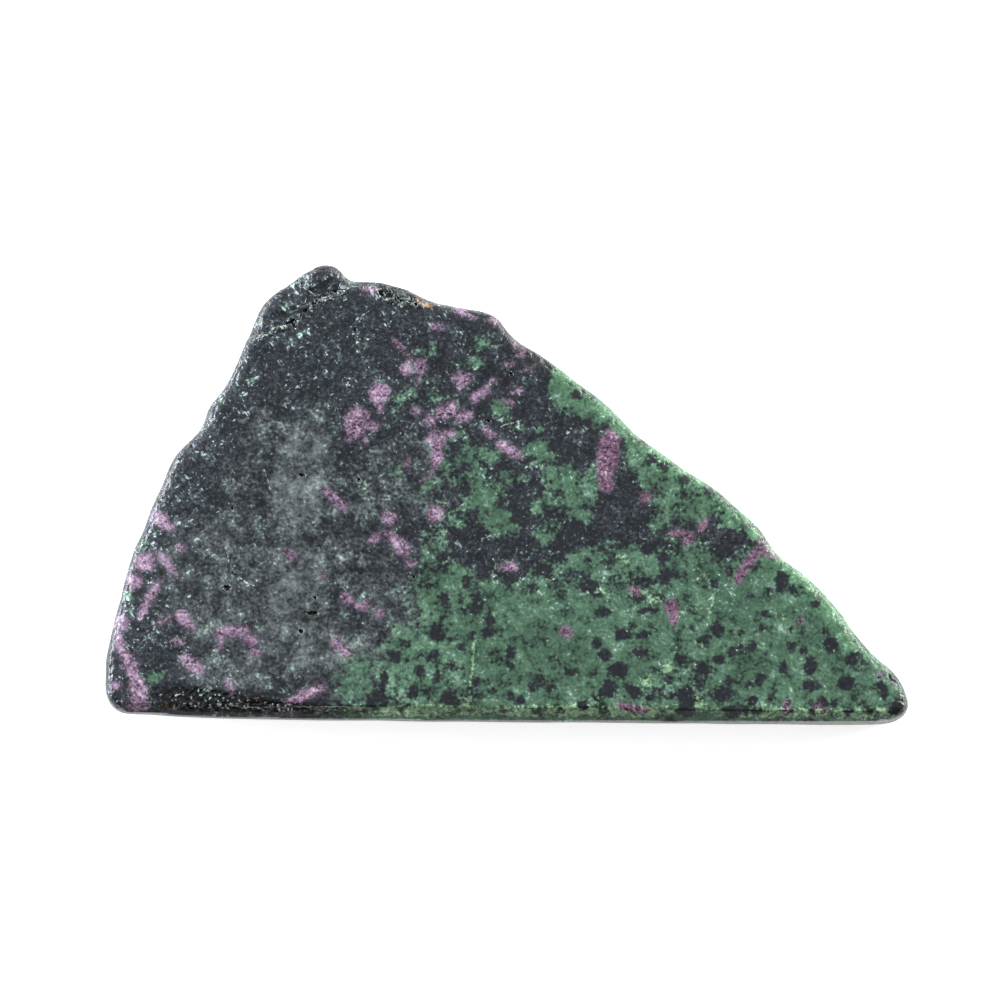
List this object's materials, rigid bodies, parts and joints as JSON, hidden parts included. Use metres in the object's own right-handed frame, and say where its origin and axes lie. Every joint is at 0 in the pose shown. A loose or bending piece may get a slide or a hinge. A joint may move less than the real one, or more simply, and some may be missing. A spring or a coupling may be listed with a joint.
{
  "type": "ruby in zoisite slab",
  "caption": "Flat polished freeform slab of ruby in zoisite with tumbled edges, a bevelled straight edge and a broken ledge at the top.",
  "frame": {"origin": "on the underside, under the middle of the slab's bounding box", "axes": "+X along the long straight edge towards the pointed end, +Y from the straight edge towards the lump, +Z out of the polished face"},
  "size_m": [0.13, 0.0754, 0.015],
  "materials": {
    "stone": "satin"
  },
  "bodies": {
    "root": {"slab": "stone"}
  },
  "joints": []
}
